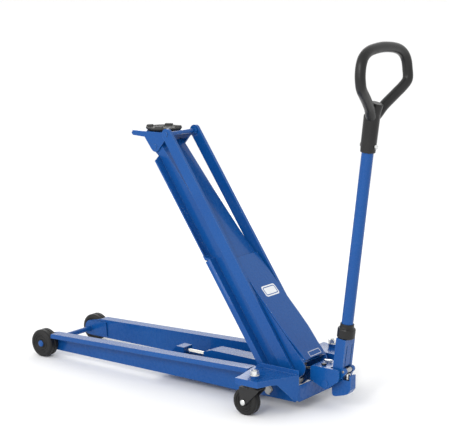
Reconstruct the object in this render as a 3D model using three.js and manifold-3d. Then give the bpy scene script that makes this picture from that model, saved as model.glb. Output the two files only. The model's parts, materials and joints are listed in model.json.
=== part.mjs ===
// High-lift hydraulic trolley jack, shown fully raised. Millimetres, +Z up, +X towards the saddle end,
// +Y to the jack's left. Everything is laid out from the front axle line, then centred on its own footprint.
import * as THREE from 'three';
import { mergeVertices } from 'three/addons/utils/BufferGeometryUtils.js';
import Module from 'manifold-3d';

const wasm = await Module();
wasm.setup();

// ---- driving dimensions ----
const FOOTPRINT_SHIFT = 540.92; // front axle to the middle of the footprint
const GAP = 0.3; // working gap between touching pieces

const FRONT_WHEEL = { radius: 42, width: 36, inner: 98.5, bore: 6.3 };
const REAR_WHEEL = { radius: 37.5, width: 27, bore: 5.3 };

const WEB = { inner: 93, outer: 97 };
const FLANGE = { front: -39, rear: -778, outer: 132, lip: 13, thick: 4, frontTop: 77.2, rise: 0.0362 };
const WALL_TOP = 116; // top of the raised rear walls
const REAR_X = -921.5; // rear end of the side walls

const SWIVEL = { x: -845, y: 190, trail: 25 };
const WING = { top: 104, thick: 4, outer: 215, lipBottom: 87 };

const PIVOT = { x: -826, z: 46 }; // lifting arm shaft
const ARM = { length: 757.7, angle: 55.6, upperHalf: 52, lowerHalf: 56, sheet: 4, shaft: 10 };
const JOGGLE = { front: 405, rear: 385 }; // where the arm walls step outwards
const LINK = { x: -50, z: 40 }; // saddle shaft to rod shaft, and the same at the chassis
const ROD = { inner: 59, outer: 68, radius: 16 };
const LEVER = { u: 35.4, n: 69.5, roller: 13 };

const RAM = { z: 70, rod: 8, front: -545, rear: -790, bore: 22, half: 26, top: 96 };
const ANCHOR = { front: -425, rear: -468, top: 84, half: 20 };

const YOKE = { x: -998, z: 118, tilt: 6.4, top: 83.5 }; // the handle's frame, and the top of its socket
const PIN = { x: -996, z: 100.1, drop: 18, radius: 7 }; // pump pin, drop below the handle frame's origin
const TUBE = { radius: 16, spigot: 12, top: 640 };
const CAM = { x: -17.6, z: -3.9, roller: 7 }; // roller that works the pump, in the handle's frame
const PLUNGER = { x: -1016, top: 103.6, seat: 70.1 };
const GRIP = { bar: 14.4, sleeve: 21, crown: 17, lean: 12, bottom: 590, top: 690 };

// ---- finishes ----
const paint = () => new THREE.MeshStandardMaterial({ color: 0x2a5aa6, roughness: 0.3, metalness: 0.1 });
const rubber = () => new THREE.MeshStandardMaterial({ color: 0x343432, roughness: 0.75, metalness: 0 });
const plastic = () => new THREE.MeshStandardMaterial({ color: 0x3a3a39, roughness: 0.5, metalness: 0 });
const zinc = () => new THREE.MeshStandardMaterial({ color: 0xb9bcbc, roughness: 0.35, metalness: 0.9 });
const chrome = () => new THREE.MeshStandardMaterial({ color: 0xd5d2c8, roughness: 0.12, metalness: 1 });
const iron = () => new THREE.MeshStandardMaterial({ color: 0x4b4b49, roughness: 0.6, metalness: 0.6 });
const steel = () => new THREE.MeshStandardMaterial({ color: 0x6e7074, roughness: 0.4, metalness: 0.9 });

// ---- solids ----
function toSolid(geometry) {
  const bare = geometry.clone();
  bare.deleteAttribute('normal');
  bare.deleteAttribute('uv');
  const merged = mergeVertices(bare, 1e-4);
  const mesh = new wasm.Mesh({
    numProp: 3,
    vertProperties: new Float32Array(merged.attributes.position.array),
    triVerts: new Uint32Array(merged.index.array),
  });
  return new wasm.Manifold(mesh);
}

function toGeometry(solid) {
  const mesh = solid.getMesh();
  const geometry = new THREE.BufferGeometry();
  geometry.setAttribute('position', new THREE.BufferAttribute(mesh.vertProperties, 3));
  geometry.setIndex(new THREE.BufferAttribute(mesh.triVerts, 1));
  return geometry;
}

const join = (...solids) => solids.reduce((sum, solid) => sum.add(solid));
const cut = (solid, ...tools) => tools.reduce((rest, tool) => rest.subtract(tool), solid);

function outline(points) {
  return new THREE.Shape(points.map(([a, b]) => new THREE.Vector2(a, b)));
}

// a plate seen from the side: points are (x, z), filled from y0 to y1
function sidePlate(points, y0, y1) {
  const geometry = new THREE.ExtrudeGeometry(outline(points), { depth: y1 - y0, bevelEnabled: false });
  geometry.rotateX(Math.PI / 2);
  geometry.translate(0, y1, 0);
  return toSolid(geometry);
}

// a plate seen from above: points are (x, y), filled from z0 to z1
function floorPlate(points, z0, z1) {
  const geometry = new THREE.ExtrudeGeometry(outline(points), { depth: z1 - z0, bevelEnabled: false });
  geometry.translate(0, 0, z0);
  return toSolid(geometry);
}

function block([x0, x1], [y0, y1], [z0, z1]) {
  const geometry = new THREE.BoxGeometry(x1 - x0, y1 - y0, z1 - z0);
  geometry.translate((x0 + x1) / 2, (y0 + y1) / 2, (z0 + z1) / 2);
  return toSolid(geometry);
}

function roundBar(axis, radius, [from, to], [a, b], segments = 24) {
  const geometry = new THREE.CylinderGeometry(radius, radius, to - from, segments);
  const middle = (from + to) / 2;
  if (axis === 'x') {
    geometry.rotateZ(Math.PI / 2);
    geometry.translate(middle, a, b);
  } else if (axis === 'y') {
    geometry.translate(a, middle, b);
  } else {
    geometry.rotateX(Math.PI / 2);
    geometry.translate(a, b, middle);
  }
  return toSolid(geometry);
}

const barX = (radius, span, y, z, segments) => roundBar('x', radius, span, [y, z], segments);
const barY = (radius, span, x, z, segments) => roundBar('y', radius, span, [x, z], segments);
const barZ = (radius, span, x, y, segments) => roundBar('z', radius, span, [x, y], segments);

// a turned piece on the Y axis: profile points are (radius, along Y), in either order
function turned(profile, segments = 24) {
  const points = profile.map(([r, y]) => new THREE.Vector2(r, y));
  if (THREE.ShapeUtils.area(points) < 0) points.reverse();
  points.push(points[0].clone());
  return toSolid(new THREE.LatheGeometry(points, segments));
}

// a tube or bar along a smooth curve through the given points
function bentBar(points, radius, steps, sides = 10, closed = false) {
  const ring = new THREE.Shape();
  ring.absarc(0, 0, radius, 0, Math.PI * 2);
  const path = new THREE.CatmullRomCurve3(points.map((p) => new THREE.Vector3(...p)), closed, 'centripetal');
  return toSolid(new THREE.ExtrudeGeometry(ring, { steps, extrudePath: path, curveSegments: sides }));
}

function arc(cx, cy, radius, fromDeg, toDeg, steps) {
  return Array.from({ length: steps + 1 }, (_, i) => {
    const angle = THREE.MathUtils.degToRad(fromDeg + ((toDeg - fromDeg) * i) / steps);
    return [cx + radius * Math.cos(angle), cy + radius * Math.sin(angle)];
  });
}

// the outer shape of two discs joined by straight sides
function strap([ax, az], ra, [bx, bz], rb, steps = 10) {
  const along = THREE.MathUtils.radToDeg(Math.atan2(bz - az, bx - ax));
  const lean = THREE.MathUtils.radToDeg(Math.acos((ra - rb) / Math.hypot(bx - ax, bz - az)));
  return [
    ...arc(bx, bz, rb, along - lean, along + lean, steps),
    ...arc(ax, az, ra, along + lean, along + 360 - lean, steps),
  ];
}

function mirrored(solid) {
  return solid.mirror([0, 1, 0]);
}

// ---- scene graph ----
const jack = new THREE.Group();
jack.position.x = FOOTPRINT_SHIFT;

function frameAt(x, z, tiltDeg = 0) {
  const group = new THREE.Group();
  group.position.set(x, 0, z);
  group.rotation.y = THREE.MathUtils.degToRad(tiltDeg);
  jack.add(group);
  return group;
}

const chassis = frameAt(0, 0);
const arm = frameAt(PIVOT.x, PIVOT.z, -ARM.angle); // local x runs along the arm, local z across it
const raise = THREE.MathUtils.degToRad(ARM.angle);
const tip = { x: PIVOT.x + ARM.length * Math.cos(raise), z: PIVOT.z + ARM.length * Math.sin(raise) };
const saddleHead = frameAt(tip.x, tip.z);
const handle = frameAt(YOKE.x, YOKE.z, -YOKE.tilt); // local z runs up the handle

function place(parent, name, solid, material) {
  const mesh = new THREE.Mesh(toGeometry(solid), material);
  mesh.name = name;
  parent.add(mesh);
}

function placePair(parent, name, leftSolid, finish) {
  place(parent, `${name}_left`, leftSolid, finish());
  place(parent, `${name}_right`, mirrored(leftSolid), finish());
}

// ---- chassis rails ----
const flangeTop = (x) => FLANGE.frontTop + FLANGE.rise * (FLANGE.front - x);

// the flange and its down-turned lip, as one folded strip running rearwards from the front end
function flangeStrip() {
  const { front, rear, outer, lip, thick } = FLANGE;
  const drop = (x, y, z) => [x, y, flangeTop(x) + z];
  const inner = WEB.inner + 1;
  const section = [
    [inner, -thick], [outer - 4, -thick], [outer - 4, -lip], [outer, -lip],
    ...arc(outer - 5, -5, 5, 0, 90, 4), [inner, 0],
  ];
  const ends = [rear, front].map((x) => section.map(([y, z]) => drop(x, y, z)));
  return loft(ends);
}

// a closed body through matching rings of points, each ring planar
function loft(rings) {
  const count = rings[0].length;
  const positions = rings.flat(2);
  const faces = THREE.ShapeUtils.triangulateShape(rings[0].map(([, y, z]) => new THREE.Vector2(y, z)), []);
  const last = (rings.length - 1) * count;
  const index = [];
  faces.forEach(([a, b, c]) => index.push(c, b, a, last + a, last + b, last + c));
  for (let ring = 0; ring < rings.length - 1; ring += 1) {
    for (let i = 0; i < count; i += 1) {
      const a = ring * count + i;
      const b = ring * count + ((i + 1) % count);
      index.push(a, b, b + count, a, b + count, a + count);
    }
  }
  const geometry = new THREE.BufferGeometry();
  geometry.setAttribute('position', new THREE.Float32BufferAttribute(positions, 3));
  geometry.setIndex(index);
  return toSolid(geometry);
}

function rail() {
  const web = sidePlate(
    [
      [-30, 19.5], ...arc(8, 36, 16.5, -90, 0, 5), ...arc(4, 46, 20.5, 0, 80, 5),
      [FLANGE.front, flangeTop(FLANGE.front)], [FLANGE.rear, flangeTop(FLANGE.rear)],
      [-800, WALL_TOP], [REAR_X, WALL_TOP], [REAR_X, 36], [-912, 26.5], [-900, 26.5],
    ],
    WEB.inner,
    WEB.outer,
  );
  const holes = [
    barY(FRONT_WHEEL.bore, [90, 100], 0, FRONT_WHEEL.radius),
    barY(ARM.shaft + GAP, [90, 100], PIVOT.x, PIVOT.z),
  ];
  return cut(join(web, flangeStrip()), ...holes);
}

function nosePlate() {
  const plate = sidePlate(
    [[-70, 24], ...arc(8, 36, 14, -70, 0, 4), ...arc(4, 46, 18, 0, 85, 5), [-36, 70], [-66, 70]],
    88.4,
    WEB.inner - GAP,
  );
  const dots = [[-60, 62], [-60, 32]].map(([x, z]) => barY(2.2, [87.4, 89], x, z, 12));
  return cut(join(plate, ...dots), barY(FRONT_WHEEL.bore, [80, 100], 0, FRONT_WHEEL.radius));
}

// outboard shelf over the caster, with its outer lip and the diagonal wall behind it
function wing() {
  const { top, thick, outer, lipBottom } = WING;
  const root = WEB.outer + GAP;
  const corner = [-868, outer];
  const tail = [REAR_X, root];
  const shelf = floorPlate([[-779, root], [-803, outer], corner, tail], top - thick, top);
  const lip = block([corner[0], -803], [outer - thick, outer], [lipBottom, top]);
  const run = Math.hypot(tail[0] - corner[0], tail[1] - corner[1]);
  const wallShape = [
    [0, top], [0, lipBottom], [0.32 * run, lipBottom + 2], [0.48 * run, lipBottom], [0.87 * run, 38],
    [run - 2, 33], [run, 33], [run, top],
  ];
  const wall = new THREE.ExtrudeGeometry(outline(wallShape), { depth: thick, bevelEnabled: false });
  wall.rotateX(Math.PI / 2);
  wall.translate(0, 1, 0);
  wall.rotateZ(Math.atan2(tail[1] - corner[1], tail[0] - corner[0]));
  wall.translate(corner[0], corner[1], 0);
  const trim = block([-1000, -700], [root, outer], [0, 200]);
  const boss = barZ(11, [top - 1, top + 9], SWIVEL.x, SWIVEL.y);
  const frontRib = sidePlate([[-803, top], [-799, top], [-799, 92], [-803, 88]], outer - 40, outer);
  const body = join(shelf, lip, toSolid(wall), boss, frontRib).intersect(trim);
  return cut(body, barZ(6.3, [60, 140], SWIVEL.x, SWIVEL.y));
}

function rearPlate() {
  const front = REAR_X - GAP;
  const back = front - 4;
  const half = 96.6;
  const side = [[front, half], [back + 2, half], [back, half - 4]];
  const plan = [...side, ...side.map(([x, y]) => [x, -y]).reverse()];
  return floorPlate(plan, 30, 75);
}

function floor() {
  return block([-762, -418], [-92.7, 92.7], [21.5, 24.5]);
}

// ---- hydraulic ram: the rod stays with the chassis and the barrel slides back along it ----
function ramAnchor() {
  const { front, rear, top, half } = ANCHOR;
  const base = 24.8;
  const body = sidePlate(
    [[front + 6, base], [front, base + 8], [front, top - 14], [front - 14, top], [rear, top], [rear, base]],
    -half,
    half,
  );
  const pocket = block([rear + 8, front + 10], [-half + 6, half - 6], [base - 1, RAM.z - 13]);
  return cut(body, pocket, barX(RAM.rod + GAP, [rear - 1, -436], 0, RAM.z));
}

function ramRod() {
  const rod = barX(RAM.rod, [-597, -436.3], 0, RAM.z, 28);
  return cut(rod, barX(2.5, [-598, -450], 0, RAM.z, 12));
}

function ramPiston() {
  return cut(barX(RAM.bore - GAP, [-597, -577], 0, RAM.z, 28), barX(RAM.rod + GAP, [-600, -570], 0, RAM.z, 28));
}

function ramBarrel() {
  const { front, rear, half, top, bore, z } = RAM;
  const bottom = 2 * z - top;
  const body = sidePlate(
    [
      [front, bottom + 4], [front, top - 10], [front - 6, top - 8], [front - 30, top], [rear, top],
      [rear, bottom], [front - 6, bottom],
    ],
    -half,
    half,
  );
  const wall = 22;
  return cut(
    body,
    barX(bore, [rear + 15, front - wall], 0, z, 28),
    barX(RAM.rod + GAP, [front - wall - 1, front + 1], 0, z, 28),
    barX(17, [front - 10, front + 1], 0, z, 28),
  );
}

function ramGland() {
  const { front, rod, z } = RAM;
  return cut(barX(17 - GAP, [front - 9.7, front], 0, z, 28), barX(rod + GAP, [front - 11, front + 1], 0, z, 28));
}

// pusher on the barrel: a bar over the pivot tube, with an upstand that bears on the lever roller
function ramPusher() {
  const face = tipOfLever().x + LEVER.roller + 1.2;
  return sidePlate(
    [[RAM.rear - GAP, 72], [RAM.rear - GAP, 96], [face + 26, 100], [face + 14, 130], [face, 130], [face, 72]],
    -12.5,
    12.5,
  );
}

function tipOfLever() {
  const { u, n } = LEVER;
  return {
    x: PIVOT.x + u * Math.cos(raise) - n * Math.sin(raise),
    z: PIVOT.z + u * Math.sin(raise) + n * Math.cos(raise),
  };
}

function ramPipe() {
  const y = -38;
  return bentBar(
    [
      [-918.7, y, 90], [-900, y, 89], [-872, y, 84], [-826, y, 74], [-786, y, 60], [-752, y, 38],
      [-716, y, 32], [-600, y, 32], [-490, y, 32], [-458, y + 2, 33], [-448, y + 9, 36],
      [-446, -ANCHOR.half - 1.1, 37],
    ],
    3.5,
    44,
    4,
  );
}

// ---- lifting arm, in its own frame: x along the arm (u), z across it (n) ----
const ARM_TOP = [
  [18, 114], [45, 111], [90, 105], [155, 95], [224, 83], [325, 68], [390, 57], [480, 46], [590, 34],
  [736, 20.5], [762, 18.5],
];

function armTopAt(u) {
  const next = ARM_TOP.findIndex(([at]) => at >= u);
  const [u0, n0] = ARM_TOP[next - 1];
  const [u1, n1] = ARM_TOP[next];
  return n0 + ((n1 - n0) * (u - u0)) / (u1 - u0);
}

function armPlan(reach, rear, front) {
  const { upperHalf, lowerHalf } = ARM;
  const side = [
    [rear, lowerHalf - reach], [JOGGLE.rear, lowerHalf - reach], [JOGGLE.front, upperHalf - reach],
    [front, upperHalf - reach],
  ];
  return [...side, ...side.map(([u, y]) => [u, -y]).reverse()];
}

function armChannel() {
  const boss = arc(0, 0, 22, 180, 300, 8);
  const ear = arc(18, 87, 27, 180, 90, 7);
  const nose = arc(ARM.length, 0, 14, -110, 60, 8);
  const side = [
    ...boss, [25, -8], [735, -8], ...nose, ...ARM_TOP.slice(1).reverse(), ...ear.reverse(), [-12, 60],
  ];
  const outer = sidePlate(side, -70, 70).intersect(floorPlate(armPlan(0, -40, 790), -60, 160));
  const under = ARM_TOP.map(([u, n]) => [u, n - ARM.sheet]);
  const hollow = [[-60, -60], [800, -60], [800, 18.5 - ARM.sheet], ...under.reverse(), [22, 160], [-60, 160]];
  const inner = sidePlate(hollow, -70, 70).intersect(floorPlate(armPlan(ARM.sheet, -70, 810), -60, 160));
  const sheet = cut(outer, inner);
  const left = join(...armFlange());
  const body = join(sheet, left, mirrored(left));
  return cut(
    body,
    barY(ARM.shaft + 2, [-80, 80], 0, 0),
    barY(7 + GAP, [-80, 80], ARM.length, 0),
  );
}

// outward flanges along the lower edges; the rear half stands higher and carries a down-turned lip
function armFlange() {
  const upper = floorPlate([[404, 50], [404, 78], [719, 78], [733, 50]], -8, -4);
  const lower = floorPlate([[28, 54], [28, 81], [394, 81], [394, 54]], 6, 10);
  const lip = block([28, 394], [77, 81], [-8, 10]);
  const step = sidePlate([[392, 6], [400, -8], [412, -8], [412, -4], [406, -3], [394, 10], [392, 10]], 50, 80);
  return [upper, lower, lip, step];
}

function armCover() {
  const [from, to] = [22.5, 365];
  const stations = ARM_TOP.filter(([u]) => u > from && u < to);
  const edge = [[from, armTopAt(from)], ...stations, [to, armTopAt(to)]];
  const under = edge.map(([u, n]) => [u, n + GAP]);
  const over = edge.map(([u, n]) => [u, n + GAP + 4.7]).reverse();
  const side = [[from, 46], [110, 55], [to, 55]];
  const plan = [...side, ...side.map(([u, y]) => [u, -y]).reverse()];
  return sidePlate([...under, ...over], -60, 60).intersect(floorPlate(plan, 0, 160));
}

// tube on the arm shaft with two lever plates that carry the roller
function liftLever() {
  const { u, n } = LEVER;
  const tube = barY(17, [-51.5, 51.5], 0, 0);
  const plate = strap([0, 0], 17, [u, n], 13);
  const plates = [sidePlate(plate, 14.5, 20.5), sidePlate(plate, -20.5, -14.5)];
  return cut(join(tube, ...plates), barY(ARM.shaft + GAP, [-60, 60], 0, 0), barY(6 + GAP, [-30, 30], u, n));
}

function leverRoller() {
  const { u, n, roller } = LEVER;
  return join(barY(roller, [-13.5, 13.5], u, n), barY(6, [-22, 22], u, n, 24));
}

// ---- parallel rods, in the saddle head's frame and the chassis frame ----
function parallelRod() {
  const top = [tip.x + LINK.x, tip.z + LINK.z];
  const foot = [PIVOT.x + LINK.x, PIVOT.z + LINK.z];
  const bar = sidePlate(strap(foot, ROD.radius, top, ROD.radius, 12), ROD.inner, ROD.outer);
  return cut(
    bar,
    barY(6 + GAP, [50, 75], top[0], top[1]),
    barY(7 + GAP, [50, 75], foot[0], foot[1]),
  );
}

function rodStud() {
  const [x, z] = [PIVOT.x + LINK.x, PIVOT.z + LINK.z];
  return join(barY(7, [ROD.inner, 80], x, z, 24), barY(11, [ROD.outer + GAP, WEB.inner - GAP], x, z, 24));
}

// ---- saddle head, in the frame of the saddle shaft ----
const HEAD = { outer: 57.5, thick: 4, top: 42, nose: 87, centre: 14 };

function saddleHolder() {
  const { outer, thick, top, nose, centre } = HEAD;
  const cheek = [
    [13, -8], [39, 26], [nose - 5, 28], [nose, 33], [nose, top - 6], [nose - 6, top],
    [-38, top], ...arc(LINK.x, LINK.z, 12, 45, 225, 8), [-38, 24], ...arc(0, 0, 14.5, 210, 325, 8),
  ];
  const side = sidePlate(cheek, outer - thick, outer);
  const plate = block([-38, nose - 3], [-outer, outer], [top - thick, top]);
  const lip = sidePlate(
    [[nose - 4, 29], [nose, 32], [nose, top - 5], [nose - 5, top - 1], [nose - 8, top - 4]],
    1 - outer,
    outer - 1,
  );
  const body = join(side, mirrored(side), plate, lip);
  return cut(
    body,
    barY(7 + GAP, [-80, 80], 0, 0),
    barY(6 + GAP, [-80, 80], LINK.x, LINK.z),
    barZ(12 + GAP, [top - 10, top + 5], centre, 0),
  );
}

function saddle() {
  const { top, centre } = HEAD;
  const seat = top + GAP;
  const disc = [
    [0, top - 14], [12, top - 14], [12, seat], [46, seat], [49, seat + 2], [52, seat + 6], [52, seat + 9],
    [48, seat + 10], [43, seat + 8], [0, seat + 8],
  ];
  const body = turned(disc).rotate([90, 0, 0]).translate([centre, 0, 0]);
  const lug = toSolid(lugGeometry(seat));
  const lugs = [0, 90, 180, 270].map((turn) => lug.rotate([0, 0, turn + 20]).translate([centre, 0, 0]));
  return join(body, ...lugs);
}

function lugGeometry(seat) {
  const foot = [[36, -11], [50, -11], [51.5, 0], [50, 11], [36, 11]];
  const geometry = new THREE.ExtrudeGeometry(outline(foot), { depth: 10, bevelEnabled: false });
  geometry.translate(0, 0, seat + 4);
  return geometry;
}

function saddleClip() {
  const { top, centre } = HEAD;
  const span = [top - 11, top - 7];
  return cut(barZ(16, span, centre, 0), barZ(12 + GAP, [top - 20, top], centre, 0));
}

// ---- wheels ----
function wheelProfile({ radius, width, bore }) {
  const half = width / 2;
  const side = [
    [bore, half - 1], [bore + 5, half - 1], [bore + 7, half - 4], [radius * 0.52, half - 5],
    [radius * 0.6, half - 2], [radius * 0.66, half - 1.6], [radius * 0.72, half], [radius * 0.86, half],
    [radius, half * 0.72], [radius, half * 0.14], [radius - 2.2, half * 0.06],
  ];
  return [...side, ...side.map(([r, y]) => [r, -y]).reverse()];
}

function frontWheel() {
  const y = FRONT_WHEEL.inner + FRONT_WHEEL.width / 2;
  return turned(wheelProfile(FRONT_WHEEL), 28).translate([0, y, FRONT_WHEEL.radius]);
}

function hubCap() {
  const face = FRONT_WHEEL.inner + FRONT_WHEEL.width - 1 + GAP;
  const cap = turned([[0, 0], [9.5, 0], [10, 1], [9, 2.6], [6, 3.6], [0, 4]], 24);
  return cap.translate([0, face, FRONT_WHEEL.radius]);
}

const casterX = SWIVEL.x + SWIVEL.trail;

function casterWheel() {
  return turned(wheelProfile(REAR_WHEEL), 24).translate([casterX, SWIVEL.y, REAR_WHEEL.radius]);
}

function casterFork() {
  const crown = REAR_WHEEL.radius * 2 + 1.3;
  const hub = REAR_WHEEL.radius;
  const leg = [
    [-868, crown + 3], [-868, crown - 2], [casterX - 9, hub - 3], ...arc(casterX, hub, 9.5, 200, 340, 6),
    [casterX + 13, crown - 6], [casterX + 13, crown + 3],
  ];
  const cheek = sidePlate(leg, SWIVEL.y + 15.3, SWIVEL.y + 18.3);
  const twin = sidePlate(leg, SWIVEL.y - 18.3, SWIVEL.y - 15.3);
  const plate = block([-868, casterX + 13], [SWIVEL.y - 18.3, SWIVEL.y + 18.3], [crown, crown + 3]);
  const neck = barZ(19, [crown + 2, WING.top - WING.thick - GAP], SWIVEL.x, SWIVEL.y);
  const bolt = barZ(6.3, [crown - 5, WING.top], SWIVEL.x, SWIVEL.y);
  const recess = barZ(11.3, [crown - 1, crown + 8.3], SWIVEL.x, SWIVEL.y, 32);
  return cut(join(cheek, twin, plate, neck), bolt, recess, barY(5 + GAP, [150, 230], casterX, hub));
}

function casterBolt() {
  const crown = REAR_WHEEL.radius * 2 + 1.3;
  return join(
    barZ(10.5, [crown + 0.3, crown + 8], SWIVEL.x, SWIVEL.y, 6),
    barZ(6, [crown + 7, WING.top + 25], SWIVEL.x, SWIVEL.y, 24),
  );
}

function casterNut() {
  const seat = WING.top + 9 + GAP;
  const washer = barZ(14, [seat, seat + 2.4], SWIVEL.x, SWIVEL.y);
  const hex = barZ(11.5, [seat + 2, seat + 13], SWIVEL.x, SWIVEL.y, 6);
  return cut(join(washer, hex), barZ(6.3, [seat - 1, seat + 20], SWIVEL.x, SWIVEL.y, 24));
}

function casterAxle() {
  const dome = turned([[0, 0], [8, 0], [7.4, 2.4], [5, 4.4], [0, 5.4]], 20);
  const shank = barY(5, [SWIVEL.y - 21, SWIVEL.y + 19], casterX, REAR_WHEEL.radius, 24);
  const caps = [
    dome.translate([casterX, SWIVEL.y + 18.6, REAR_WHEEL.radius]),
    dome.mirror([0, 1, 0]).translate([casterX, SWIVEL.y - 18.6, REAR_WHEEL.radius]),
  ];
  return join(shank, ...caps);
}

// ---- pump end ----
// tank and pump body with an ear each side of the handle socket; the tongue between carries the pin,
// and its foot is the pump cylinder, with a well for the plunger's spring
function pumpBlock() {
  const top = 118;
  const main = sidePlate(
    [[-919, 76], [-919, 112], [-925, top], [-977, top], [-977, 62], [-967, 58], [-929, 72], [-929, 76]],
    -36,
    36,
  );
  const ear = sidePlate(
    [[-970, top], [-1005, top], [-1009.5, 114], [-1009.5, 96], [-1006, 85], [-972, 60], [-970, 60]],
    29,
    36,
  );
  const tongue = sidePlate(
    [
      [-974, 60], [-974, 100], [-984, 108], ...arc(PIN.x, PIN.z, 12, 50, 200, 8), [-1007.6, 86],
      [-1028.5, 86], [-1028.5, 100], [-1033, 100], [-1033, 62], [-1024, 49], [-1012, 43.5], [-985, 36],
      [-977, 37], [-974, 42],
    ],
    -12.5,
    12.5,
  );
  const boss = barY(9, [30, 38.5], -967.5, 73, 24);
  return cut(
    join(main, ear, mirrored(ear), tongue, boss),
    barY(PIN.radius + GAP, [-40, 32.3], PIN.x, PIN.z),
    barZ(6 + GAP, [48, 90], PLUNGER.x, 0),
    barZ(9, [PLUNGER.seat, 110], PLUNGER.x, 0),
    barZ(5.3, [106, 130], -950, -12, 24),
  );
}

function fillerPlug() {
  return barZ(7, [118.3, 123], -950, 16, 6);
}

function releaseValve() {
  const spindle = barZ(5, [107, 126], -950, -12, 24);
  const grip = [[-956, -18], [-956, -6], [-944, -6], [-934, -9], [-934, -15], [-944, -18]];
  const lever = floorPlate(grip, 120, 125);
  return join(spindle, lever);
}

// cheeks on the pump pin, closing into a socket block for the handle; local z runs up the handle
function handleYoke() {
  const pin = [0, -PIN.drop];
  const cheekShape = [...arc(...pin, 15, 180, 360, 10), [15, YOKE.top], [-15, YOKE.top]];
  const cheek = sidePlate(cheekShape, 14.5, 24);
  const tab = sidePlate(strap(pin, 15, [CAM.x, CAM.z], 9), 14.5, 24);
  const half = join(cheek, tab);
  const socket = block([-9, 15], [-24, 24], [12, YOKE.top]);
  const rib = block([-15, -8], [-11, 11], [8, YOKE.top]);
  const band = block([-15, -8], [-20, 20], [66, YOKE.top]);
  return cut(
    join(half, mirrored(half), socket, rib, band),
    barZ(TUBE.spigot + GAP, [40, 100], 0, 0),
    barY(PIN.radius + GAP, [-40, 40], ...pin),
    barY(4 + GAP, [-40, 40], CAM.x, CAM.z, 24),
  );
}

function camRoller() {
  return join(barY(CAM.roller, [-13, 13], CAM.x, CAM.z, 24), barY(4, [-24, 24], CAM.x, CAM.z, 20));
}

// headed pin, pushed in from the right through both ears; the left ear is blind
function yokePin() {
  const head = barY(10.5, [-40, -36.3], PIN.x, PIN.z, 24);
  return join(barY(PIN.radius, [-38, 32], PIN.x, PIN.z, 24), head);
}

function pumpPlunger() {
  const { x, top } = PLUNGER;
  return join(barZ(6, [66, top - 4], x, 0, 24), barZ(7, [top - 7, top], x, 0, 24));
}

function plungerSpring() {
  const { x, top, seat } = PLUNGER;
  const [wire, radius, turns, steps] = [0.8, 7.2, 5, 70];
  const from = seat + wire + 0.6;
  const rise = top - 7 - wire - 0.5 - from;
  const points = Array.from({ length: steps + 1 }, (_, i) => {
    const angle = (turns * 2 * Math.PI * i) / steps;
    return [x + radius * Math.cos(angle), radius * Math.sin(angle), from + (rise * i) / steps];
  });
  return bentBar(points, wire, steps, 3);
}

// ---- handle, in its own tilted frame ----
function handleTube() {
  const { radius, spigot, top } = TUBE;
  const wall = 2.5;
  const profile = [
    [spigot - 3, 44], [spigot, 44], [spigot, 86], [radius, 86], [radius, top], [radius - wall, top],
    [radius - wall, 96], [spigot - 3, 90],
  ];
  const tube = turned(profile, 28).rotate([90, 0, 0]);
  return cut(tube, barX(4 + GAP, [-40, 40], 0, GRIP.bottom + 18, 20));
}

function handleCollar() {
  const bore = TUBE.radius + GAP;
  const profile = [
    [bore, YOKE.top + 0.6], [23.5, YOKE.top + 0.6], [24.5, 86], [24.5, 108], [22.5, 111.5], [19.5, 112.5],
    [19, 123], [18, 124], [bore, 124],
  ];
  return turned(profile, 32).rotate([90, 0, 0]);
}

// half of the loop's centre line, as [back, sideways, up]: the arms lean back and the bow comes forward again
const LOOP = [
  [-5, 14, 687], [-10, 36, 711], [-17, 70, 737], [-23, 104, 762], [-25, 117, 779], [-21, 117.5, 802],
  [-17, 111, 828], [-13, 94, 847], [-10.5, 60, 859],
];
const LOOP_ENDS = { low: [-3, 0, 682], high: [-9.5, 0, 864] };

function handleGrip() {
  const { sleeve, bar, crown, lean, bottom, top } = GRIP;
  const other = LOOP.map(([x, y, z]) => [x, -y, z]).reverse();
  const loop = bentBar([LOOP_ENDS.low, ...LOOP, LOOP_ENDS.high, ...other], bar, 52, 5, true);
  const tube = turned([[0, bottom], [sleeve - 1, bottom], [sleeve, bottom + 30], [sleeve + 0.5, top], [0, top]], 32);
  const cap = barZ(crown, [0, 52], 0, 0, 28).rotate([0, -lean, 0]).translate([0, 0, top - 20]);
  return cut(
    join(tube.rotate([90, 0, 0]), cap, loop),
    barZ(TUBE.radius + GAP, [bottom - 10, TUBE.top + GAP], 0, 0, 28),
    barX(4 + GAP, [-40, 40], 0, bottom + 18, 20),
  );
}

function gripBolt() {
  const height = GRIP.bottom + 18;
  const reach = GRIP.sleeve + GAP;
  const shank = barX(4, [-reach - 4, reach + 3], 0, height, 20);
  const head = barX(7, [reach, reach + 3.5], 0, height, 24);
  const nut = barX(6.6, [-reach - 6, -reach], 0, height, 6);
  return join(shank, head, nut);
}

// ---- assembly ----
placePair(chassis, 'rail', rail(), paint);
placePair(chassis, 'nose_plate', nosePlate(), paint);
placePair(chassis, 'wing', wing(), paint);
place(chassis, 'rear_plate', rearPlate(), paint());
place(chassis, 'floor_plate', floor(), paint());
place(chassis, 'front_axle', barY(6, [-129, 129], 0, FRONT_WHEEL.radius, 24), zinc());
const sleeve = barY(8, [-88, 88], 0, FRONT_WHEEL.radius, 24);
place(chassis, 'axle_sleeve', cut(sleeve, barY(6.3, [-90, 90], 0, FRONT_WHEEL.radius, 24)), paint());
place(chassis, 'arm_shaft', barY(ARM.shaft, [-101, 101], PIVOT.x, PIVOT.z), steel());
const clip = cut(
  barY(14, [WEB.outer + GAP, 99.5], PIVOT.x, PIVOT.z),
  barY(ARM.shaft + GAP, [90, 105], PIVOT.x, PIVOT.z),
);
placePair(chassis, 'shaft_clip', clip, steel);
placePair(chassis, 'rod_stud', rodStud(), steel);
place(chassis, 'ram_anchor', ramAnchor(), paint());
place(chassis, 'ram_rod', ramRod(), chrome());
place(chassis, 'ram_piston', ramPiston(), steel());
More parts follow.
